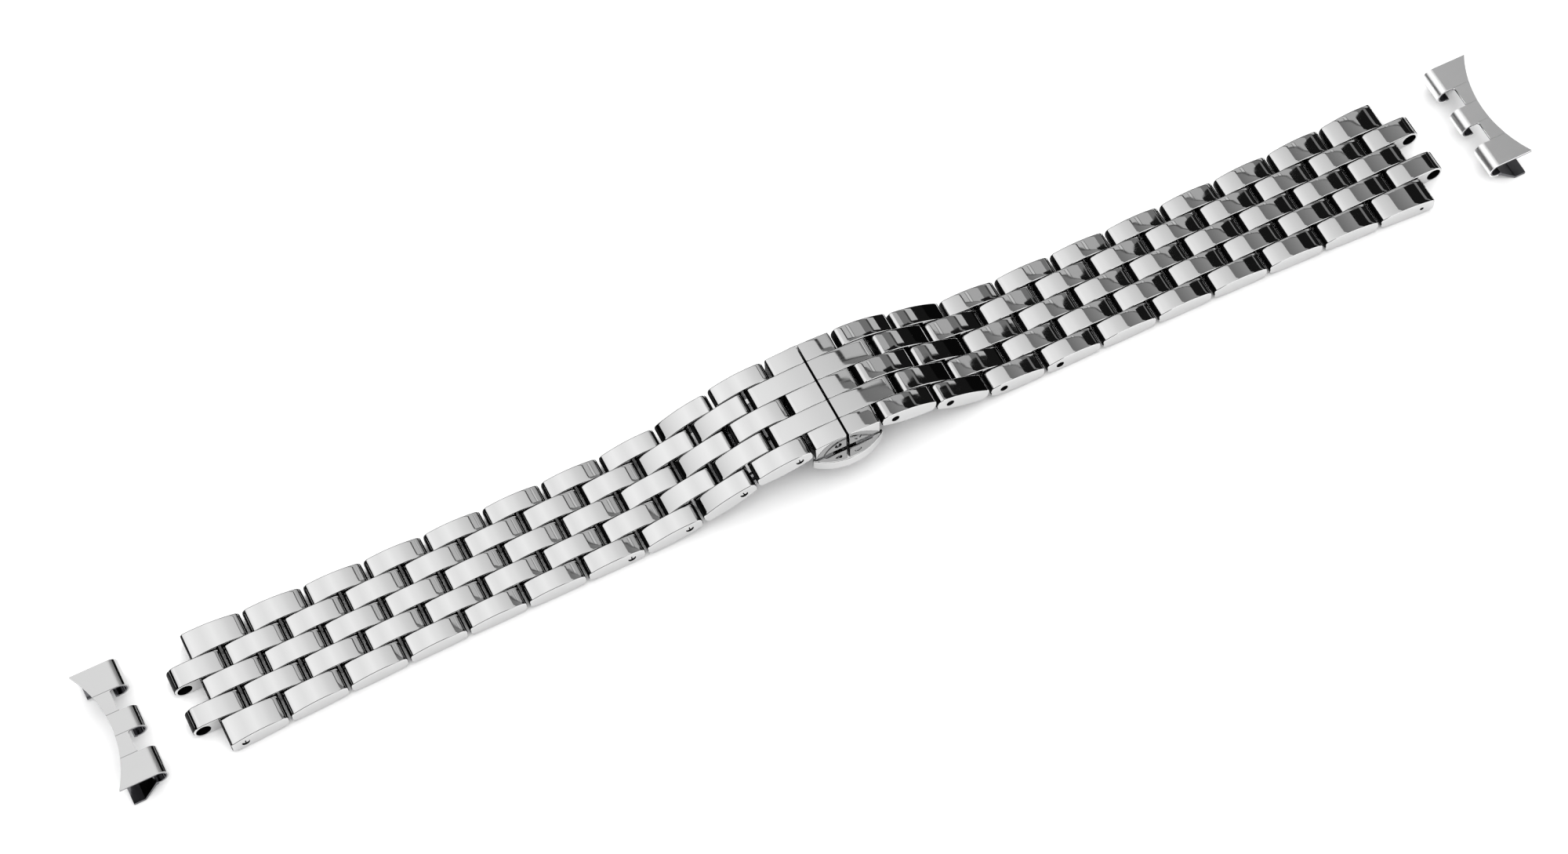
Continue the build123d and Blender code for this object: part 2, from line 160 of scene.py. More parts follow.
top_ends = [Vector((way * nose_x(nose_top), nose_top)) for way in (-1, 1)]
print("top radius:", round(circle_of(top_ends[0], Vector((0, top_height)), top_ends[1])[1], 2), "mm")

# %% [markdown]
# ## The side outline of a link
#
# Three kinds are needed. Most links have a nose at both ends. The last outer links end square at
# the watch, and the last inner links end round about the spring bar. The outline is a ring of
# points, and the last number of each arc is how many straight steps it gets: enough that the
# mirror stays smooth.

# %% Outline of a link


def link_outline(outboard):
    """Clockwise outline of a link in millimetres, with its outboard end at plus X."""
    top_x, low_x, tip = nose_x(nose_top), nose_x(nose_bottom), pin_offset + nose_radius
    summit, foot = Vector((0, top_height)), Vector((0, -pin_height))
    end_top = Vector((top_x, nose_top))
    end_low = Vector((low_x, nose_bottom))
    if outboard == "square":
        end_top, end_low = Vector((tip, nose_top)), Vector((tip, nose_bottom))
    if outboard == "round":
        end_top = Vector((pin_offset, round_end))
    top = circle_of(Vector((-top_x, nose_top)), summit, end_top)
    low = circle_of(end_low, foot, Vector((-low_x, nose_bottom)))
    inboard = (Vector((-pin_offset, 0)), nose_radius)
    nose = (Vector((pin_offset, 0)), nose_radius)
    high_centre, high_top, high_nose = rounded(top, inboard, top_corner, 1)
    foot_centre, foot_low, foot_nose = rounded(low, inboard, bottom_corner, -1)
    if outboard == "round":
        last = Vector((pin_offset, -round_end))
        ring = arc_points(top[0], high_top, end_top, 15)
        ring += arc_points(nose[0], end_top, last, 22) + [last]
        ring += arc_points(low[0], foot, foot_low, 9)
    elif outboard == "square":
        wall = tip - bottom_corner
        out = Vector((bottom_corner, 0))
        up = math.sqrt((top[1] - bottom_corner) ** 2 - (wall - top[0].x) ** 2)
        down = math.sqrt((low[1] - bottom_corner) ** 2 - (wall - low[0].x) ** 2)
        high, deep = Vector((wall, top[0].y + up)), Vector((wall, low[0].y - down))
        first = high + (high - top[0]).normalized() * bottom_corner
        last = deep + (deep - low[0]).normalized() * bottom_corner
        ring = arc_points(top[0], high_top, first, 18)
        ring += arc_points(high, first, high + out, 7) + [high + out]
        ring += arc_points(deep, deep + out, last, 6)
        ring += arc_points(low[0], last, foot_low, 16)
    else:
        centre, first, last = rounded(top, nose, top_corner, -1)
        ring = arc_points(top[0], high_top, first, 18)
        ring += arc_points(centre, first, last, 9)
        centre, first, deep = rounded(low, nose, bottom_corner, 1)
        ring += arc_points(nose[0], last, deep, 5)
        ring += arc_points(centre, deep, first, 6)
        ring += arc_points(low[0], first, foot_low, 16)
    ring += arc_points(foot_centre, foot_low, foot_nose, 6)
    ring += arc_points(inboard[0], foot_nose, high_nose, 5)
    return ring + arc_points(high_centre, high_nose, high_top, 9)


for kind in ("nose", "square", "round"):
    print(kind, "outline:", len(link_outline(kind)), "points")

# %% [markdown]
# ## From outline to solid
#
# A filled ring is stood up, its points are put on the outline, and the face is pulled across the
# bracelet. Then the rim of both side faces gets a narrow bevel: on the real links this is where
# the polishing wheel breaks the edge, and it draws the thin bright line along every link. The
# wheel leaves it a little wider than the drawing says, and it also rounds the top by a hair
# towards the sides. That can't be seen as a shape, but it bends the reflections at the rims.

# %% Plates with soft edges
side_bevel, rim_segments = 0.17, 3
top_strips = 8  # a plate is pulled out in this many steps, so that its top can be bent
buffed_drop, buffed_depth = 0.016, 0.6  # how far the sides sink, and in how deep a layer
same_place = 1e-7  # metres


def clear_selection():
    """Leave edit mode and select nothing."""
    if bpy.context.object and bpy.context.object.mode != "OBJECT":
        bpy.ops.object.mode_set(mode="OBJECT")
    bpy.ops.object.select_all(action="DESELECT")


def pick(piece):
    """Make one piece the only selected and active one."""
    clear_selection()
    piece.select_set(True)
    bpy.context.view_layer.objects.active = piece


def bevel_rims(piece, places, width, segments):
    """Bevel the edges that lie whole in one of two upright planes along the bracelet."""
    pick(piece)
    bpy.ops.object.mode_set(mode="EDIT")
    bpy.ops.mesh.select_all(action="DESELECT")
    bpy.ops.object.mode_set(mode="OBJECT")
    corners = [vertex.co.y for vertex in piece.data.vertices]
    for edge in piece.data.edges:
        ends = [corners[i] for i in edge.vertices]
        edge.select = any(all(abs(e - p) < same_place for e in ends) for p in places)
    bpy.ops.object.mode_set(mode="EDIT")
    bpy.ops.mesh.select_mode(type="EDGE")
    bpy.ops.mesh.bevel(offset=width * MM, segments=segments, profile=0.5, clamp_overlap=True)
    bpy.ops.object.mode_set(mode="OBJECT")


def standing_plate(name, outline, y_low, y_high, bevel=side_bevel):
    """Solid with a side outline in millimetres, between two places across the bracelet."""
    clear_selection()
    bpy.ops.mesh.primitive_circle_add(vertices=len(outline), radius=MM, fill_type="NGON")
    piece = bpy.context.object
    piece.name = name
    for vertex, point in zip(piece.data.vertices, outline):
        vertex.co = (point.x * MM, y_low * MM, point.y * MM)
    bpy.ops.object.mode_set(mode="EDIT")
    bpy.ops.mesh.select_all(action="SELECT")
    width = (y_high - y_low) * MM / top_strips
    for _ in range(top_strips):
        bpy.ops.mesh.extrude_region_move(TRANSFORM_OT_translate={"value": (0, width, 0)})
    bpy.ops.mesh.select_all(action="SELECT")
    bpy.ops.mesh.normals_make_consistent(inside=False)
    bpy.ops.object.mode_set(mode="OBJECT")
    bevel_rims(piece, (y_low * MM, y_high * MM), bevel, rim_segments)
    return piece


def cushion(piece, top):
    """Let the top of a link fall away by a hair towards its sides, as a soft buffing wheel does."""
    sides = [vertex.co.y for vertex in piece.data.vertices]
    middle, half = (max(sides) + min(sides)) / 2, (max(sides) - min(sides)) / 2
    for vertex in piece.data.vertices:
        height = vertex.co.z / MM - (top - buffed_depth)
        if height > 0:
            share = abs(vertex.co.y - middle) / half
            vertex.co.z -= buffed_drop * MM * share**4 * min(1.0, height / buffed_depth)


print("plate helpers ready, bevel", side_bevel, "mm")

# %% [markdown]
# ## Holes and joined meshes
#
# The pins need round holes. A hole is cut with a rod and the exact boolean solver, which leaves a
# clean rim. Links of one row move as one, so their meshes are joined into one object.

# %% Rods, cuts and joins


def rod(name, x, z, radius, y_low, y_high, sides=32):
    """Round solid across the bracelet, in millimetres."""
    clear_selection()
    bpy.ops.mesh.primitive_cylinder_add(
        vertices=sides,
        radius=radius * MM,
        depth=(y_high - y_low) * MM,
        location=(x * MM, (y_low + y_high) / 2 * MM, z * MM),
        rotation=(math.pi / 2, 0, 0),
    )
    piece = bpy.context.object
    piece.name = name
    bpy.ops.object.transform_apply(location=True, rotation=True, scale=True)
    return piece


def carve(piece, cutter):
    """Cut one solid with another and delete the cutter."""
    pick(piece)
    cut = piece.modifiers.new("cut", "BOOLEAN")
    cut.operation = "DIFFERENCE"
    cut.solver = "EXACT"
    cut.object = cutter
    bpy.ops.object.modifier_apply(modifier=cut.name)
    bpy.data.objects.remove(cutter, do_unlink=True)


def joined(pieces, name):
    """Several meshes as one object."""
    pick(pieces[0])
    for piece in pieces[1:]:
        piece.select_set(True)
    bpy.ops.object.join()
    pieces[0].name = name
    return pieces[0]


print("cutting helpers ready")

# %% [markdown]
# ## Shading and mirror twins
#
# Smooth shading alone would bend the reflections on flat faces, because it averages the normals
# with those of the bevel. Weighted normals let the broad faces lead. The near side of the
# bracelet is the mirror image of the far side, so one link makes two.

# %% Polish and copies
smooth_below = 40  # degrees between two faces
broad_face_weight = 90


def polish(piece):
    """Smooth the shading, with the broad faces leading so that flats mirror as flats."""
    pick(piece)
    bpy.ops.object.shade_smooth_by_angle(angle=math.radians(smooth_below))
    even = piece.modifiers.new("even shading", "WEIGHTED_NORMAL")
    even.keep_sharp = True
    even.weight = broad_face_weight
    bpy.ops.object.modifier_apply(modifier=even.name)
    return piece


def copy_of(piece, name):
    """Copy with its own mesh."""
    twin = piece.copy()
    twin.data = piece.data.copy()
    twin.name = name
    bpy.context.scene.collection.objects.link(twin)
    return twin


def turned_over(piece, name):
    """Mirror copy on the other side of the bracelet, with its faces outwards again."""
    twin = copy_of(piece, name)
    twin.data.transform(Matrix.Scale(-1, 4, (0, 1, 0)))
    pick(twin)
    bpy.ops.object.mode_set(mode="EDIT")
    bpy.ops.mesh.select_all(action="SELECT")
    bpy.ops.mesh.normals_make_consistent(inside=False)
    bpy.ops.object.mode_set(mode="OBJECT")
    return twin


print("shading helpers ready")

# %% [markdown]
# ## The links, once each
#
# The bracelet repeats a few links many times, so each kind is made once: a centre link, an inner
# link, and the versions at the watch end. The holes are bored right through, as the pins show
# between the columns.

# %% Model the centre and inner links
cut_past = 1.0  # how far a cutter sticks out, in millimetres
small_hole_sides, large_hole_sides = 24, 48


def bored_link(name, outboard, y_low, y_high, end_hole=pin_hole):
    """Link with its two pin holes."""
    link = standing_plate(name, link_outline(outboard), y_low, y_high)
    cushion(link, top_height)
    low, high = y_low - cut_past, y_high + cut_past
    sides = large_hole_sides if end_hole > pin_hole else small_hole_sides
    carve(link, rod("bore", -pin_offset, 0, pin_hole, low, high, small_hole_sides))
    carve(link, rod("bore", pin_offset, 0, end_hole, low, high, sides))
    return link


centre_link = bored_link("centre_link", "nose", -half_column, half_column)
centre_end_link = bored_link("centre_end_link", "square", -half_column, half_column)
inner_link = bored_link("inner_link", "nose", inner_low, inner_high)
inner_end_link = bored_link("inner_end_link", "round", inner_low, inner_high, spring_bar_hole)
originals = (centre_link, centre_end_link, inner_link, inner_end_link)
for link in originals:
    print(link.name, len(link.data.polygons), "faces")

# %% [markdown]
# ## The side links
#
# The bracelet widens from the clasp to the lugs, so the outer face of each side link is slightly
# slanted and every row has its own pair. On the side face of some rows the end of the pin shows:
# flush with a saw slot on the left half, set back in a dark hole on the right half.

# %% Side links
removable_rows = 4  # rows next to the clasp whose pins can be taken out
flush_inset, deep_inset, hidden_inset = 0.08, 0.4, 0.8
small_hole = 0.3
press_fit = 0.03  # the side links grip the pin, so their bore is tighter by this
pin_end_gap = 0.02


def half_width(rows_out):
    """Half of the bracelet's width at a number of pitches from the clasp block."""
    flare = max(0.0, (rows_out - parallel_rows) / (rows_per_half - parallel_rows))
    return clasp_half_width + (lug_half_width - clasp_half_width) * flare**2


def slant(piece, low, high, slope):
    """Push the outer side face of a link out to a line that follows the taper."""
    for vertex in piece.data.vertices:
        share = max(0.0, (vertex.co.y / MM - low) / (high - low))
        vertex.co.y += slope * vertex.co.x * share


def side_link(side, row):
    """Side link of the far side of one row, and how far its two pins reach."""
    last = row == rows_per_half - 1
    middle = (half_width(row) + half_width(row + 1)) / 2
    slope = (half_width(row + 1) - half_width(row)) / (4 * pin_offset)
    outline = link_outline("square" if last else "nose")
    link = standing_plate("side_link", outline, side_low, middle)
    cushion(link, top_height)
    slant(link, side_low, middle, slope)
    reaches = []
    for end in (-1, 1):
        width = middle + slope * end * pin_offset
        shown = (end < 0 and row < removable_rows) or (end > 0 and last)
        inset = flush_inset if side == "left" else deep_inset
        past, radius = width + cut_past, pin_hole - press_fit
        if end > 0 and last and side == "right":
            inset = hidden_inset
            eye = rod("eye", end * pin_offset, 0, small_hole, side_low, past, small_hole_sides)
            carve(link, eye)
        elif not shown:
            inset = hidden_inset
        stop = past if shown and inset < hidden_inset else width - inset
        carve(link, rod("bore", end * pin_offset, 0, radius, side_low - cut_past, stop))
        reaches.append((width - inset - pin_end_gap, shown and side == "left"))
    return link, reaches


print("half widths in mm:", [round(half_width(i), 2) for i in range(rows_per_half + 1)])

# %% [markdown]
# ## The pins
#
# A pin is a piece of drawn wire, cut off and broken at the edge. Those that can be taken out have
# a saw slot in both ends.

# %% Pins
pin_bevel, pin_segments = 0.06, 2
slot_width, slot_depth = 0.16, 0.3


def link_pin(end, reach, slotted):
    """Pin through one row, with its ends broken by a fine bevel."""
    pin = rod("pin", end * pin_offset, 0, pin_radius, -reach, reach)
    bevel_rims(pin, (-reach * MM, reach * MM), pin_bevel, pin_segments)
    if slotted:
        for way in (-1, 1):
            clear_selection()
            middle = (end * pin_offset * MM, way * reach * MM, 0)
            size = (slot_width * MM, 2 * slot_depth * MM, 3 * pin_radius * MM)
            bpy.ops.mesh.primitive_cube_add(size=1, location=middle, scale=size)
            carve(pin, bpy.context.object)
    return pin


print("pin diameter:", 2 * pin_radius, "mm")

# %% [markdown]
# ## Put the rows in place
#
# A link is drawn about its own middle, so its place is one matrix: along the line between its two
# pins, across the bracelet, and up. The CAD pieces that each new piece stands for are hidden, and the
# new piece hangs on the body it rides on, so it follows every pose.

# %% Build the rows


def place_of(side, row_name):
    """Matrix that puts a link drawn about its middle onto its two pins."""
    inboard, outboard = pin_places[side][row_name]
    along = (outboard - inboard).normalized()
    across = Vector((0, 1, 0)) if side == "right" else Vector((0, -1, 0))
    up = along.cross(across)
    turn = Matrix((along, across, up)).transposed().to_4x4()
    return Matrix.Translation((inboard + outboard) / 2) @ turn


def settle(piece, matrix, body, nodes):
    """Put a finished piece in its place in its mesh and hand it to its body."""
    piece.data.transform(matrix)
    for node in nodes:
        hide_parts(node)
    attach(piece, body)


rows = []
for side in halves:
    for row in range(rows_per_half):
        last = row == rows_per_half - 1
        far, reaches = side_link(side, row)
        near = turned_over(far, "near_link")
        middle = copy_of(centre_end_link if last else centre_link, "middle_link")
        pins = [link_pin(end, *reach) for end, reach in zip((-1, 1), reaches)]
        name = f"{side}_outer_row_{row + 1:02d}"
        outer = polish(joined([middle, far, near] + pins, f"{name}_links"))
        settle(outer, place_of(side, name), name, [f"{side}_outer_links_{row + 1:02d}"])
        name = f"{side}_inner_row_{row + 1:02d}"
        link = copy_of(inner_end_link if last else inner_link, "far_link")
        pair = polish(joined([link, turned_over(link, "near_link")], f"{name}_links"))
        settle(pair, place_of(side, name), name, [f"{side}_inner_links_{row + 1:02d}"])
        rows += [outer, pair]
for link in originals:
    bpy.data.objects.remove(link, do_unlink=True)
print("rows of links:", len(rows))

# %% [markdown]
# ## Columns of the clasp blocks
#
# Over the clasp the bracelet ends in two rigid blocks whose five columns only look like links.
# The short columns stop before the first outer links and the long ones reach over the first pin.
# The top of each column is level at the seam and falls away from there on, as one arc.

# %% Outlines of the columns
seam_gap, link_gap = 0.35, 0.35
short_drop, short_corner = 0.225, 0.375
link_thickness = 2.85
block_length = 4.95
block_pin_x, block_pin_height = 1.45, 1.1
block_bottom = joints["clasp_block_left"]["pos_m"][2] / MM - block_pin_height
block_top = block_bottom + link_thickness
first_pin = block_length + pin_offset
first_pin_z = block_bottom + pin_height


def short_outline():
    """Outline of the columns that stop before the first outer links."""
    low_x, end_x = seam_gap / 2, block_length - link_gap / 2
    run = end_x - low_x
    radius = (run**2 + short_drop**2) / (2 * short_drop)
    centre = Vector((low_x, block_top - radius))
    corner_x = end_x - short_corner
    corner_z = centre.y + math.sqrt((radius - short_corner) ** 2 - (corner_x - low_x) ** 2)
    corner_centre = Vector((corner_x, corner_z))
    start = corner_centre + (corner_centre - centre).normalized() * short_corner
    points = [Vector((low_x, block_bottom))]
    points += arc_points(centre, Vector((low_x, block_top)), start, 14)
    points += arc_points(corner_centre, start, Vector((end_x, corner_z)), 6)
    return points + [Vector((end_x, corner_z)), Vector((end_x, block_bottom))]


def long_outline():
    """Outline of the columns that reach over the first pin."""
    low_x = seam_gap / 2
    nose = Vector((first_pin, first_pin_z))
    end_x = first_pin + math.sqrt(nose_radius**2 - nose_top**2)
    run, drop = end_x - low_x, top_height - nose_top
    radius = (run**2 + drop**2) / (2 * drop)
    centre = Vector((low_x, block_top - radius))
    high, start, stop = rounded((centre, radius), (nose, nose_radius), top_corner, -1)
    foot_x = first_pin + math.sqrt(nose_radius**2 - nose_bottom**2)
    foot = Vector((foot_x, first_pin_z + nose_bottom))
    points = [Vector((low_x, block_bottom))]
    points += arc_points(centre, Vector((low_x, block_top)), start, 20)
    points += arc_points(high, start, stop, 8)
    points += arc_points(nose, stop, foot, 8)
    return points + [foot, Vector((block_length, block_bottom))]


print("block top above the table:", round(block_top, 3), "mm")

# %% [markdown]
# ## The clasp blocks
#
# Each column is modelled by itself and they stand side by side, so their bevels meet in the fine
# grooves of the real block. Cutting grooves into one wide block would need a bevel on every cut.
# The middle columns are slotted from below for the blade of the clasp.

# %% Model the clasp blocks
half_gap = 0.04  # half the gap between the columns of loose links, which the block doesn't have
groove_bevel = 0.11
slot_half, slot_end, slot_top = 2.32, 3.6, 2.12
block_pin_hole = 0.52
bores = (
    (first_pin, first_pin_z, pin_hole),
    (block_pin_x, block_bottom + block_pin_height, block_pin_hole),
)


def clasp_block(side):
    """Block of the right half, bored for its pins and slotted for the blade."""
    columns = []
    for low, high, outline in (
        (-clasp_half_width, -side_low + half_gap, short_outline()),
        (-inner_high - half_gap, -inner_low + half_gap, long_outline()),
        (-half_column - half_gap, half_column + half_gap, short_outline()),
        (inner_low - half_gap, inner_high + half_gap, long_outline()),
        (side_low - half_gap, clasp_half_width, short_outline()),
    ):
        column = standing_plate("column", outline, low, high, groove_bevel)
        cushion(column, block_top)
        for pin_x, pin_z, hole in bores:
            start, stop = low - cut_past, high + cut_past
            carve(column, rod("bore", pin_x, pin_z, hole, start, stop, small_hole_sides))
        if max(abs(low), abs(high)) < side_low:
            clear_selection()
            depth = slot_top + cut_past
            middle = (slot_end / 2 * MM, 0, (block_bottom - cut_past + depth / 2) * MM)
            size = (slot_end * MM, 2 * slot_half * MM, depth * MM)
            bpy.ops.mesh.primitive_cube_add(size=1, location=middle, scale=size)
            carve(column, bpy.context.object)
        columns.append(column)
    return polish(joined(columns, f"clasp_block_{side}_columns"))


shift = (joints["blade_left"]["pos_m"][0] + joints["blade_right"]["pos_m"][0]) / 2
blocks = []
for side in halves:
    block = clasp_block(side)
    blocks.append(block)
    turn = Matrix.Rotation(math.pi, 4, "Z") if side == "left" else Matrix.Identity(4)
    place = Matrix.Translation((shift, 0, 0)) @ turn
    settle(block, place, f"clasp_block_{side}", [f"clasp_block_{side}"])
    print(block.name, len(block.data.polygons), "faces")

# %% [markdown]
# ## Colours
#
# Colours are written as the hex values that a picture editor shows. Blender reckons in linear
# light, so one function turns them. Two more small functions add a node with its settings and
# links, and a sum, which keeps each material readable.

# %% Colour and node helpers


def linear(code):
    """Linear RGBA of an sRGB hex colour."""
    values = [int(code[i : i + 2], 16) / 255 for i in (1, 3, 5)]
    turned = [v / 12.92 if v <= 0.04045 else ((v + 0.055) / 1.055) ** 2.4 for v in values]
    return (*turned, 1.0)


def add_node(material, kind, inputs=None, **settings):
    """Add a node, set it up, and feed its inputs with values or with other nodes' outputs."""
    node = material.node_tree.nodes.new(kind)
    for name, value in settings.items():
        setattr(node, name, value)
    for key, value in (inputs or {}).items():
        if isinstance(value, bpy.types.NodeSocket):
            material.node_tree.links.new(value, node.inputs[key])
        else:
            node.inputs[key].default_value = value
    return node


def maths(material, operation, first, second):
    """One sum of two values or outputs."""
    return add_node(material, "ShaderNodeMath", {0: first, 1: second}, operation=operation).outputs[0]


def new_material(name):
    """Empty material with its shader and output."""
    material = bpy.data.materials.new(name)
    material.use_nodes = True
    shader = material.node_tree.nodes["Principled BSDF"]
    return material, shader


print("middle grey in linear light:", round(linear("#808080")[0], 3))

# %% [markdown]
# ## Steel, polished and plain
#
# The links are stainless steel, ground and then buffed to a mirror. What tells the eye that it is
# steel and not glass is small: the mirror is never quite even, and the wheel leaves hair-fine
# wipe marks along the bracelet. Both go into the roughness, and a very weak bump lets the
# reflections swim a little.

# %% A steel with cloud and wipe marks
wipe_stretch = 0.04  # along the bracelet the noise is scaled by this, so it is drawn out to marks
pattern_low, pattern_high = 0.12, 0.4  # the span that the product of two noises fills
relief_depth = 0.0002


def steel(name, colour, rough_low, rough_high, wave_mm, scratch_mm, bump):
    """Stainless steel whose gloss wanders by a cloud pattern and by fine wipe marks."""
    material, shader = new_material(name)
    place = add_node(material, "ShaderNodeTexCoord")
    cloud = add_node(
        material,
        "ShaderNodeTexNoise",
        {"Vector": place.outputs["Object"], "Scale": 1000 / wave_mm, "Detail": 2.0},
    )
    stretch = add_node(
        material,
        "ShaderNodeMapping",
        {"Vector": place.outputs["Object"], "Scale": (wipe_stretch, 1.0, 1.0)},
    )
    wipes = add_node(
        material,
        "ShaderNodeTexNoise",
        {"Vector": stretch.outputs["Vector"], "Scale": 1000 / scratch_mm, "Detail": 3.0},
    )
    pattern = maths(material, "MULTIPLY", cloud.outputs["Fac"], wipes.outputs["Fac"])
    rough = add_node(
        material,
        "ShaderNodeMapRange",
        {"Value": pattern, 1: pattern_low, 2: pattern_high, 3: rough_low, 4: rough_high},
    )
    relief = add_node(
        material,
        "ShaderNodeBump",
        {"Height": cloud.outputs["Fac"], "Strength": bump, "Distance": relief_depth},
    )
    shader.inputs["Base Color"].default_value = linear(colour)
    shader.inputs["Metallic"].default_value = 1.0
    material.node_tree.links.new(rough.outputs["Result"], shader.inputs["Roughness"])
    material.node_tree.links.new(relief.outputs["Normal"], shader.inputs["Normal"])
    return material


print("steel helper ready")

# %% [markdown]
# One helper makes every steel of the bracelet. What changes from piece to piece is how it was
# finished: polished where it shows on the wrist, satin inside the clasp. The round noses and bores in
# the gaps get a dark steel, which is painted shade. The two end pieces are one part but differ: one
# is buffed and painted darker, as painted shade, and one is brushed and painted lighter, as painted
# light.

# %% Steel materials
# Both end pieces are one part: the left colour is painted darker as shade, the right painted lighter
# as light.
sheet_colours = {"left": "#BEBEBE", "right": "#F2F2F2"}
# Mirror polished stainless steel: the eye sees the room in it, a shade darker and neutral.
polished = steel("polished stainless steel", "#CCCCCC", 0.015, 0.05, 9.0, 0.35, 0.01)
# Sheet of the left end piece: buffed after bending, so its curl shows crisp bands. Its darker colour
# is painted shade.
buffed_sheet_painted_shade = steel("buffed steel sheet", sheet_colours["left"], 0.1, 0.16, 5.0, 0.3, 0.01)
# Sheet of the right end piece: still brushed as the sheet was rolled, so it scatters the light. Its
# near white colour is painted light.
brushed_sheet_painted_light = steel("brushed steel sheet", sheet_colours["right"], 0.3, 0.36, 5.0, 0.3, 0.01)
sheets = {"left": buffed_sheet_painted_shade, "right": brushed_sheet_painted_light}
# Clasp blades and plate: satin steel with the grain along the bracelet.
satin = steel("satin steel", "#C4C4C6", 0.22, 0.36, 6.0, 0.2, 0.04)
# Drawn steel wire of the pins and springs.
drawn = steel("drawn steel wire", "#C9C9CA", 0.12, 0.24, 2.0, 0.15, 0.02)
# Round noses and bores: a dark, rough steel that paints the shade which falls in the gaps between the
# links and in the holes.
gap_shade_steel = steel("milled steel", "#262627", 0.48, 0.58, 2.0, 0.8, 0.0)
print("materials:", [m.name for m in bpy.data.materials])

# %% [markdown]
# ## Painted shade inside the end pieces
#
# The end pieces are pressed from sheet. The inside of the curl, the underside and the tongues get a
# dark grey, which is painted shade, so the curl looks like a dark eye from the side. The knuckle axis
# tells the two apart: the inside lies nearer to it than the middle of the sheet, and the underside
# lies below that height.

# %% Paint shade into the inside of the end pieces
outward = {"left": -1, "right": 1}
sheet_middle = 1.2  # from the knuckle axis to the middle of the sheet
curl_edge = 0.2  # the underside starts this far beyond the axis
# Grey that paints the shade inside the curl and under the sheet.
painted_shade_colour = "#68686B"


def blend_colour(material, share, below, above):
    """Colour that goes from one to the other as the share goes from zero to one."""
    node = add_node(material, "ShaderNodeMix", data_type="RGBA")
    material.node_tree.links.new(share, node.inputs[0])
    node.inputs[6].default_value = linear(below)
    node.inputs[7].default_value = linear(above)
    return node.outputs[2]


for side, way in outward.items():
    material = sheets[side]
    centre = mounts[f"end_piece_knuckle_{side}"]["pos_m"]
    limit = sheet_middle * MM
    place = add_node(material, "ShaderNodeTexCoord")
    axes = add_node(material, "ShaderNodeSeparateXYZ", {0: place.outputs["Object"]})
    along = maths(material, "SUBTRACT", axes.outputs["X"], centre[0])
    up = maths(material, "SUBTRACT", axes.outputs["Z"], centre[2])
    flat = add_node(material, "ShaderNodeCombineXYZ", {0: along, 1: up})
    reach = add_node(material, "ShaderNodeVectorMath", {0: flat.outputs[0]}, operation="LENGTH")
    inside = maths(material, "LESS_THAN", reach.outputs["Value"], limit)
    beyond = maths(material, "GREATER_THAN", maths(material, "MULTIPLY", along, way), curl_edge * MM)
    under = maths(material, "LESS_THAN", up, limit)
    # Share of painted shade: inside the curl, or beyond the curl's edge and below the middle of the
    # sheet.
    shade_share = maths(material, "MAXIMUM", inside, maths(material, "MULTIPLY", beyond, under))
    colour = blend_colour(material, shade_share, sheet_colours[side], painted_shade_colour)
    shader = material.node_tree.nodes["Principled BSDF"]
    material.node_tree.links.new(colour, shader.inputs["Base Color"])
    print("sheet", side, "about the knuckle at", centre)

# %% [markdown]
# ## Each piece gets its steel
#
# A CAD piece keeps its mesh and only gets a material. The modelled links get two: the faces that show
# are polished, while round noses and the walls of holes get a dark steel, which is painted shade in
# the gaps. Which is which follows from where a face looks and how near to a pin it lies.

# %% Give every piece its steel
nose_slope, side_slope = 0.7, 0.5  # how much of a normal points along, or across
hole_skin = 0.02


def finish_of(name):
    """Steel of a piece, by its name."""
    if name.startswith("end_piece"):
        return sheets[name.split("_")[2]]
    if name.startswith(("blade", "centre_plate", "latch_housing")):
        return satin
    if name.startswith(("block_pin", "hinge_pin", "button_spring")):
        return drawn
    return polished


def in_gap_shade(face, axes):
    """Whether a face gets the painted gap shade: a round nose, or the wall of a hole or pin about one
    of the axes.
    """
    if abs(face.normal.x) > nose_slope:
        return True
    if abs(face.normal.y) > side_slope:
        return False
    spots = [Vector((face.center.x - axis.x, face.center.z - axis.z)).length / MM for axis in axes]
    return any(spot < spring_bar_hole + hole_skin for spot in spots)


for name, node in frame["nodes"].items():
    node.data.materials.clear()
    node.data.materials.append(finish_of(name))
row_axes = {name: ends for places in pin_places.values() for name, ends in places.items()}
for piece in rows + blocks:
    piece.data.materials.clear()
    piece.data.materials.append(polished)
    # Second material: dark steel, painted shade for the noses and hole walls in the gaps.
    piece.data.materials.append(gap_shade_steel)
    axes = row_axes.get(piece.name[: -len("_links")], ())
    for face in piece.data.polygons:
        face.material_index = int(in_gap_shade(face, axes))
print("dressed nodes:", len(frame["nodes"]), "and modelled pieces:", len(rows + blocks))

# %% [markdown]
# ## The studio
#
# Polished steel has hardly any look of its own, so the studio is half of the picture. The table
# is a white paper sweep, lit a little brighter than white so that its shadows fade out. A lamp
# for it alone keeps that light out of the mirror of the steel.

# %% Table and its lamp
paper_depth = 0.00005  # just below the lowest piece, in metres
clear_selection()
bpy.ops.mesh.primitive_plane_add(size=4.0, location=(0, 0, -paper_depth))
floor = bpy.context.object
floor.name = "table"
# White paper without any sheen, so the table stays even.
paper, paper_shader = new_material("white paper sweep")
paper_shader.inputs["Base Color"].default_value = linear("#FAFAFA")
paper_shader.inputs["Roughness"].default_value = 1.0
paper_shader.inputs["Specular IOR Level"].default_value = 0.0
floor.data.materials.append(paper)

bpy.ops.object.light_add(type="AREA", location=(0, -0.1, 0.9))
table_lamp = bpy.context.object
table_lamp.name = "table lamp"
table_lamp.data.size = 2.4
table_lamp.data.energy = 38.0
table_lamp.visible_glossy = False

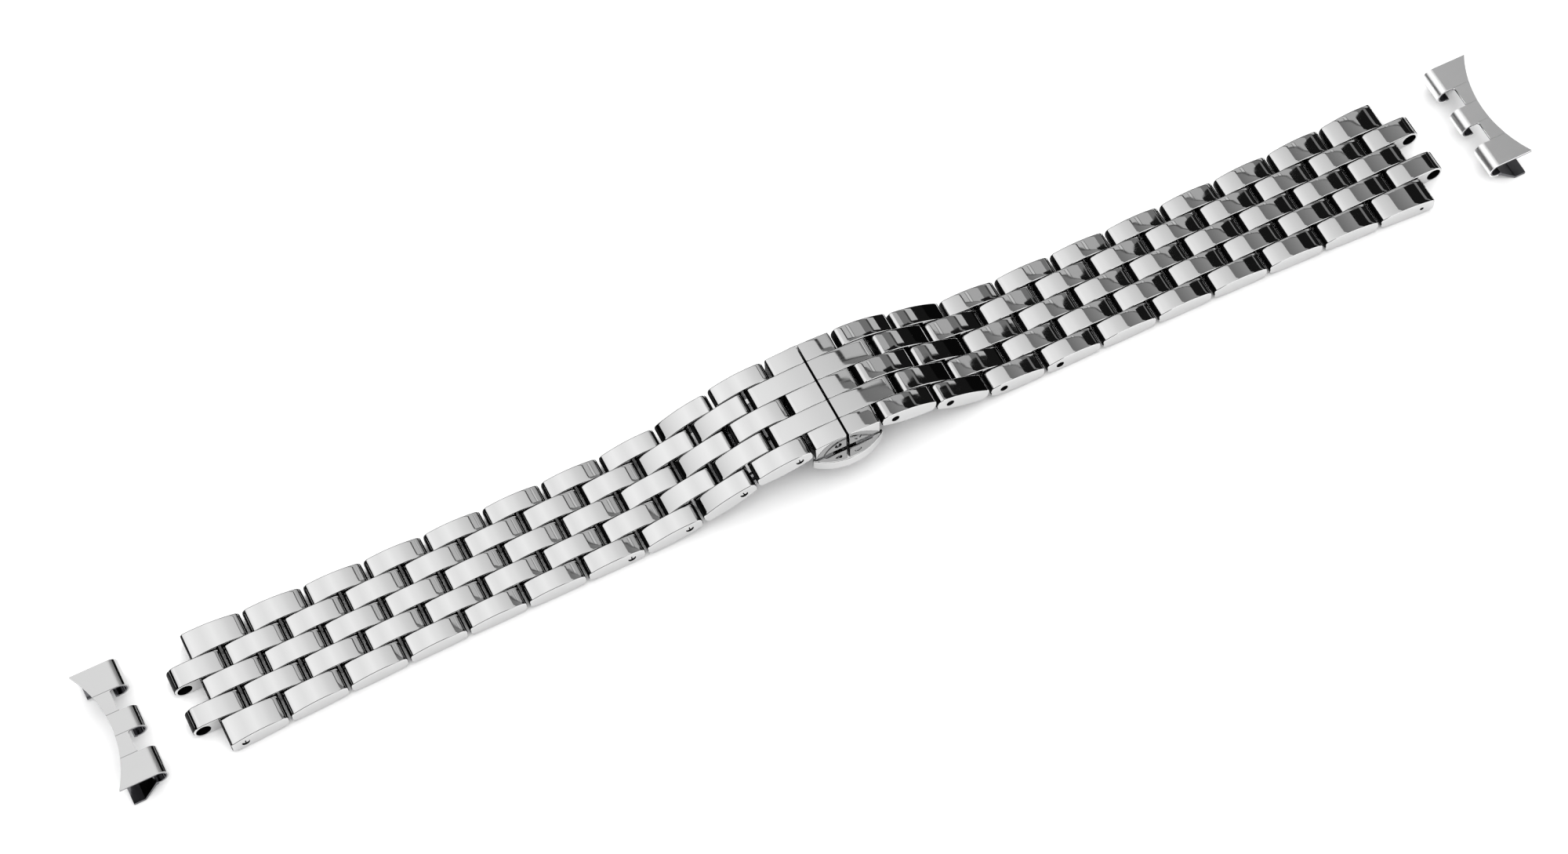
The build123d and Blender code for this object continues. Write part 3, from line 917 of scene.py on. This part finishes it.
world = bpy.data.worlds.new("dark room")
world.use_nodes = True
world.node_tree.nodes["Background"].inputs["Color"].default_value = linear("#0C0C0C")
bpy.context.scene.world = world
bpy.context.scene.view_settings.view_transform = "Standard"
print("table lamp:", table_lamp.data.energy, "W")

# %% [markdown]
# ## The card over the table
#
# What the links mirror is one big card above the table. Its left part is a soft box whose light
# swells and fades a little, which gives each link its gentle gradient. Right of it hangs a grey
# card with a dark rim, other panels stand behind that, and beyond them the room is black. Those
# sharp borders make the grey and black bands on the right half. The pattern is drawn with plain
# maths on the card's own coordinates, in metres. A picture would do it too, but maths stays sharp.

# %% Helpers for the pattern
softness = 0.002  # half the width of a border, in metres


def card_step(material, value, at):
    """Zero below a place on the card and one above it."""
    return add_node(
        material,
        "ShaderNodeMapRange",
        {"Value": value, 1: at - softness, 2: at + softness, 3: 0.0, 4: 1.0},
    ).outputs["Result"]


def blend(material, share, below, above):
    """Value that goes from one to the other as the share goes from zero to one."""
    node = add_node(material, "ShaderNodeMix", {0: share, 2: below, 3: above}, data_type="FLOAT")
    return node.outputs[0]


def both(material, first, second):
    """Share that two shares have in common."""
    return maths(material, "MULTIPLY", first, second)


def glow_material(name):
    """Material that only glows, with its emission shader."""
    material = bpy.data.materials.new(name)
    material.use_nodes = True
    tree = material.node_tree
    tree.nodes.remove(tree.nodes["Principled BSDF"])
    glow = add_node(material, "ShaderNodeEmission")
    tree.links.new(glow.outputs["Emission"], tree.nodes["Material Output"].inputs["Surface"])
    return material, glow


print("pattern helpers ready")

# %% [markdown]
# The soft box comes first. A colour ramp holds how bright it is at each place along the bracelet.

# %% Light of the soft box
card_low, card_high, card_near, card_back, card_height = -0.9, 1.6, -0.65, 1.2, 0.7
light_end = 0.245
steel_white = 1.42  # strength that the steel mirrors as white
# One flat glowing card stands for the soft box, the grey card, the panels and the room.
ceiling, ceiling_glow = glow_material("soft box, grey card and dark room")
place = add_node(ceiling, "ShaderNodeTexCoord")
axes = add_node(ceiling, "ShaderNodeSeparateXYZ", {0: place.outputs["Object"]})
x, y = axes.outputs["X"], axes.outputs["Y"]
run = add_node(ceiling, "ShaderNodeMapRange", {"Value": x, 1: card_low, 2: light_end, 3: 0.0, 4: 1.0})
swell = add_node(ceiling, "ShaderNodeValToRGB", {"Fac": run.outputs["Result"]})
stops = (
    (-0.9, 0.66), (-0.32, 0.985), (-0.235, 0.905), (-0.17, 0.868), (-0.115, 0.913),
    (-0.055, 0.96), (0.0, 0.886), (0.06, 0.84), (0.125, 0.736), (0.185, 0.681), (0.245, 0.62),
)
ramp = swell.color_ramp
while len(ramp.elements) < len(stops):
    ramp.elements.new(0.5)
for element, (where, brightness) in zip(ramp.elements, stops):
    element.position = (where - card_low) / (light_end - card_low)
    element.color = (brightness, brightness, brightness, 1.0)
level = maths(ceiling, "MULTIPLY", swell.outputs["Color"], steel_white)
print("stops of the soft box:", len(ramp.elements))

# %% [markdown]
# The grey card gets lighter to the right. Its far border runs at a slight slant and ends in a
# thin dark rim. Behind the rim other panels stand side by side.

# %% Grey card and the panels behind it
grey_end, grey_levels = 0.512, (0.24, 0.43)
far_slant = 0.06
rim_start, rim_end, rim_level = 0.3585, 0.3625, 0.05
first_panel = 0.06
panels = (  # where each starts, and how bright it is
    (0.26, 0.7), (0.322, 0.18), (0.33, 0.85), (0.362, 0.2), (0.37, 0.6), (0.56, 0.25),
    (0.72, 0.08), (0.77, 0.7),
)
right_part = card_step(ceiling, x, light_end)
grey = add_node(
    ceiling,
    "ShaderNodeMapRange",
    {"Value": x, 1: light_end, 2: grey_end, 3: grey_levels[0], 4: grey_levels[1]},
)
level = blend(ceiling, right_part, level, grey.outputs["Result"])
far = maths(ceiling, "SUBTRACT", y, maths(ceiling, "MULTIPLY", x, far_slant))
behind, past_rim = card_step(ceiling, far, rim_start), card_step(ceiling, far, rim_end)
wall = first_panel
for panel_x, value in panels:
    wall = blend(ceiling, card_step(ceiling, x, panel_x), wall, value)
level = blend(ceiling, both(ceiling, right_part, past_rim), level, wall)
rim = maths(ceiling, "SUBTRACT", behind, past_rim)
level = blend(ceiling, both(ceiling, right_part, rim), level, rim_level)
print("panels behind the grey card:", len(panels) + 1)

# %% [markdown]
# The room is what no card covers: it starts at a slanted line, at the end of the grey card, and
# at the far right. One upright slit of light stands in it.

# %% The dark room
room_start, room_slant, slant_start = 0.475, 2.81, -0.6608
grey_stop, room_end = 0.502, 0.97
room_level = 0.012
slit_start, slit_end, slit_back, slit_level = 0.675, 0.725, 0.5, 0.26
slant_line = maths(ceiling, "SUBTRACT", x, maths(ceiling, "MULTIPLY", y, room_slant))
room = both(ceiling, card_step(ceiling, x, room_start), card_step(ceiling, slant_line, slant_start))
in_front = maths(ceiling, "SUBTRACT", 1.0, behind)
room = maths(ceiling, "MAXIMUM", room, both(ceiling, card_step(ceiling, x, grey_stop), in_front))
room = maths(ceiling, "MAXIMUM", room, card_step(ceiling, x, room_end))
level = blend(ceiling, room, level, room_level)
slit = maths(ceiling, "SUBTRACT", card_step(ceiling, x, slit_start), card_step(ceiling, x, slit_end))
slit = both(ceiling, slit, maths(ceiling, "SUBTRACT", 1.0, card_step(ceiling, y, slit_back)))
level = blend(ceiling, slit, level, slit_level)
ceiling.node_tree.links.new(level, ceiling_glow.inputs["Strength"])
print("card pattern nodes:", len(ceiling.node_tree.nodes))

# %% [markdown]
# ## Hang the cards
#
# Each card is a flat plane that glows. Only the mirror of the steel sees it, so it adds nothing
# to the light on the table. A white card in front of the bracelet lights the near side faces.

# %% Hang the cards


def glow_card(name, corners, material):
    """Flat four-cornered card that lights and shades nothing but the steel."""
    clear_selection()
    bpy.ops.mesh.primitive_plane_add(size=1.0)
    card = bpy.context.object
    card.name = name
    for vertex, corner in zip(card.data.vertices, corners):
        vertex.co = corner
    card.data.materials.append(material)
    card.visible_diffuse = False
    card.visible_shadow = False


low_side = ((card_low, card_near, card_height), (card_high, card_near, card_height))
back_side = ((card_low, card_back, card_height), (card_high, card_back, card_height))
glow_card("overhead card", low_side + back_side, ceiling)
front_strength = 1.5
# White card: its mirror image is the even light on the near side faces.
front, front_glow = glow_material("white card in front")
front_glow.inputs["Strength"].default_value = front_strength
front_low, front_high, front_y, front_foot, front_top = 0.12, 0.8, -0.6, 0.02, 0.6
foot_side = ((front_low, front_y, front_foot), (front_high, front_y, front_foot))
top_side = ((front_low, front_y, front_top), (front_high, front_y, front_top))
glow_card("front card", foot_side + top_side, front)
print("cards hung")

# %% [markdown]
# ## The camera
#
# The lens is a long one, as for a catalogue picture, and the camera looks down on the bracelet
# from the front left. Its three axes and its place, in millimetres, were fitted to the picture.

# %% Place the camera
bpy.ops.object.camera_add()
camera = bpy.context.object
camera.name = "photo camera"
across = Vector((0.895832, -0.442882, -0.036607))
down = Vector((-0.40302, -0.774962, -0.486835))
forward = Vector((0.187242, 0.450876, -0.872727))
turn = Matrix((across, -down, -forward)).transposed().to_4x4()
camera.matrix_world = Matrix.Translation(Vector((-103.329, -234.909, 457.748)) * MM) @ turn
camera.data.lens = 89.19
camera.data.sensor_width = 36.0
camera.data.clip_start, camera.data.clip_end = 0.01, 20.0
bpy.context.scene.camera = camera
print("camera at", tuple(round(v, 4) for v in camera.location))
